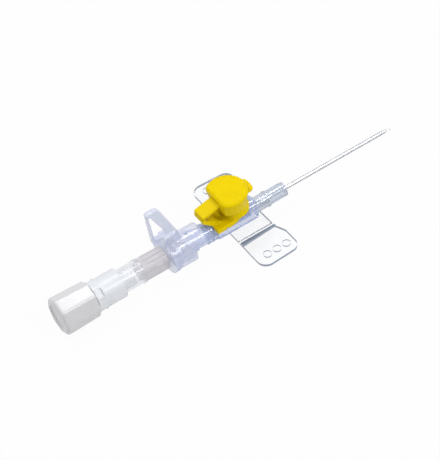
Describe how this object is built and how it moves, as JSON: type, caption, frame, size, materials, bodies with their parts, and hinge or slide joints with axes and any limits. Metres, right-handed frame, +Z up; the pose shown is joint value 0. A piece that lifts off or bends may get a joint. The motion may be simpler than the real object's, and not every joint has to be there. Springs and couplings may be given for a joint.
{
  "type": "iv cannula",
  "caption": "Peripheral intravenous cannula with soft tube over a needle, capped injection port, folding wings, push-off needle guard and vented rear plug with a Luer cap.",
  "frame": {"origin": "centre of the hub nose's front face, where the soft tube leaves it", "axes": "+X along the needle towards its tip, +Z up through the injection port, +Y towards the left wing"},
  "size_m": [0.099, 0.0324, 0.0236],
  "materials": {
    "soft_tube": "smooth translucent fluoropolymer",
    "steel": "bright drawn stainless steel",
    "clear_blue": "clear plastic with a blue tint",
    "silicone": "soft translucent silicone",
    "yellow": "opaque yellow plastic",
    "clear_wing": "clear flexible plastic",
    "clear_guard": "clear plastic with a faint violet blue tint",
    "frosted": "frosted translucent plastic",
    "clear_chamber": "clear plastic",
    "translucent_white": "translucent white plastic",
    "filter_white": "porous white plastic",
    "white": "opaque white plastic"
  },
  "bodies": {
    "cannula": {"cannula_hub": "clear_blue", "catheter_tube": "soft_tube", "catheter_ferrule": "steel", "port_valve": "silicone", "port_cap_ring": "yellow"},
    "port_cap": {"port_cap": "yellow"},
    "wing_left": {"wing_left": "clear_wing"},
    "wing_right": {"wing_right": "clear_wing"},
    "needle_guard": {"safety_housing": "clear_guard", "safety_clip": "steel"},
    "needle_unit": {"needle": "steel", "needle_hub": "frosted", "flash_chamber": "clear_chamber", "vent_plug": "translucent_white", "vent_filter": "filter_white"},
    "luer_cap": {"luer_cap": "white"}
  },
  "joints": [
    {"name": "port_cap_hinge", "type": "hinge", "parent": "cannula", "child": "port_cap", "pos_m": [-0.0247, 0, 0.00705], "axis": [0, -1, 0], "range_deg": [0, 110]},
    {"name": "wing_left_fold", "type": "hinge", "parent": "cannula", "child": "wing_left", "pos_m": [-0.0126, 0.00598, -0.00285], "axis": [1, 0, 0], "range_deg": [0, 85]},
    {"name": "wing_right_fold", "type": "hinge", "parent": "cannula", "child": "wing_right", "pos_m": [-0.0126, -0.00598, -0.00285], "axis": [-1, 0, 0], "range_deg": [0, 85]},
    {"name": "guard_slide", "type": "slide", "parent": "cannula", "child": "needle_guard", "axis": [-1, 0, 0], "range_m": [0, 0.03]},
    {"name": "needle_slide", "type": "slide", "parent": "needle_guard", "child": "needle_unit", "axis": [-1, 0, 0], "range_m": [0, 0.063]},
    {"name": "luer_cap_slide", "type": "slide", "parent": "needle_unit", "child": "luer_cap", "axis": [-1, 0, 0], "range_m": [0, 0.012]}
  ]
}
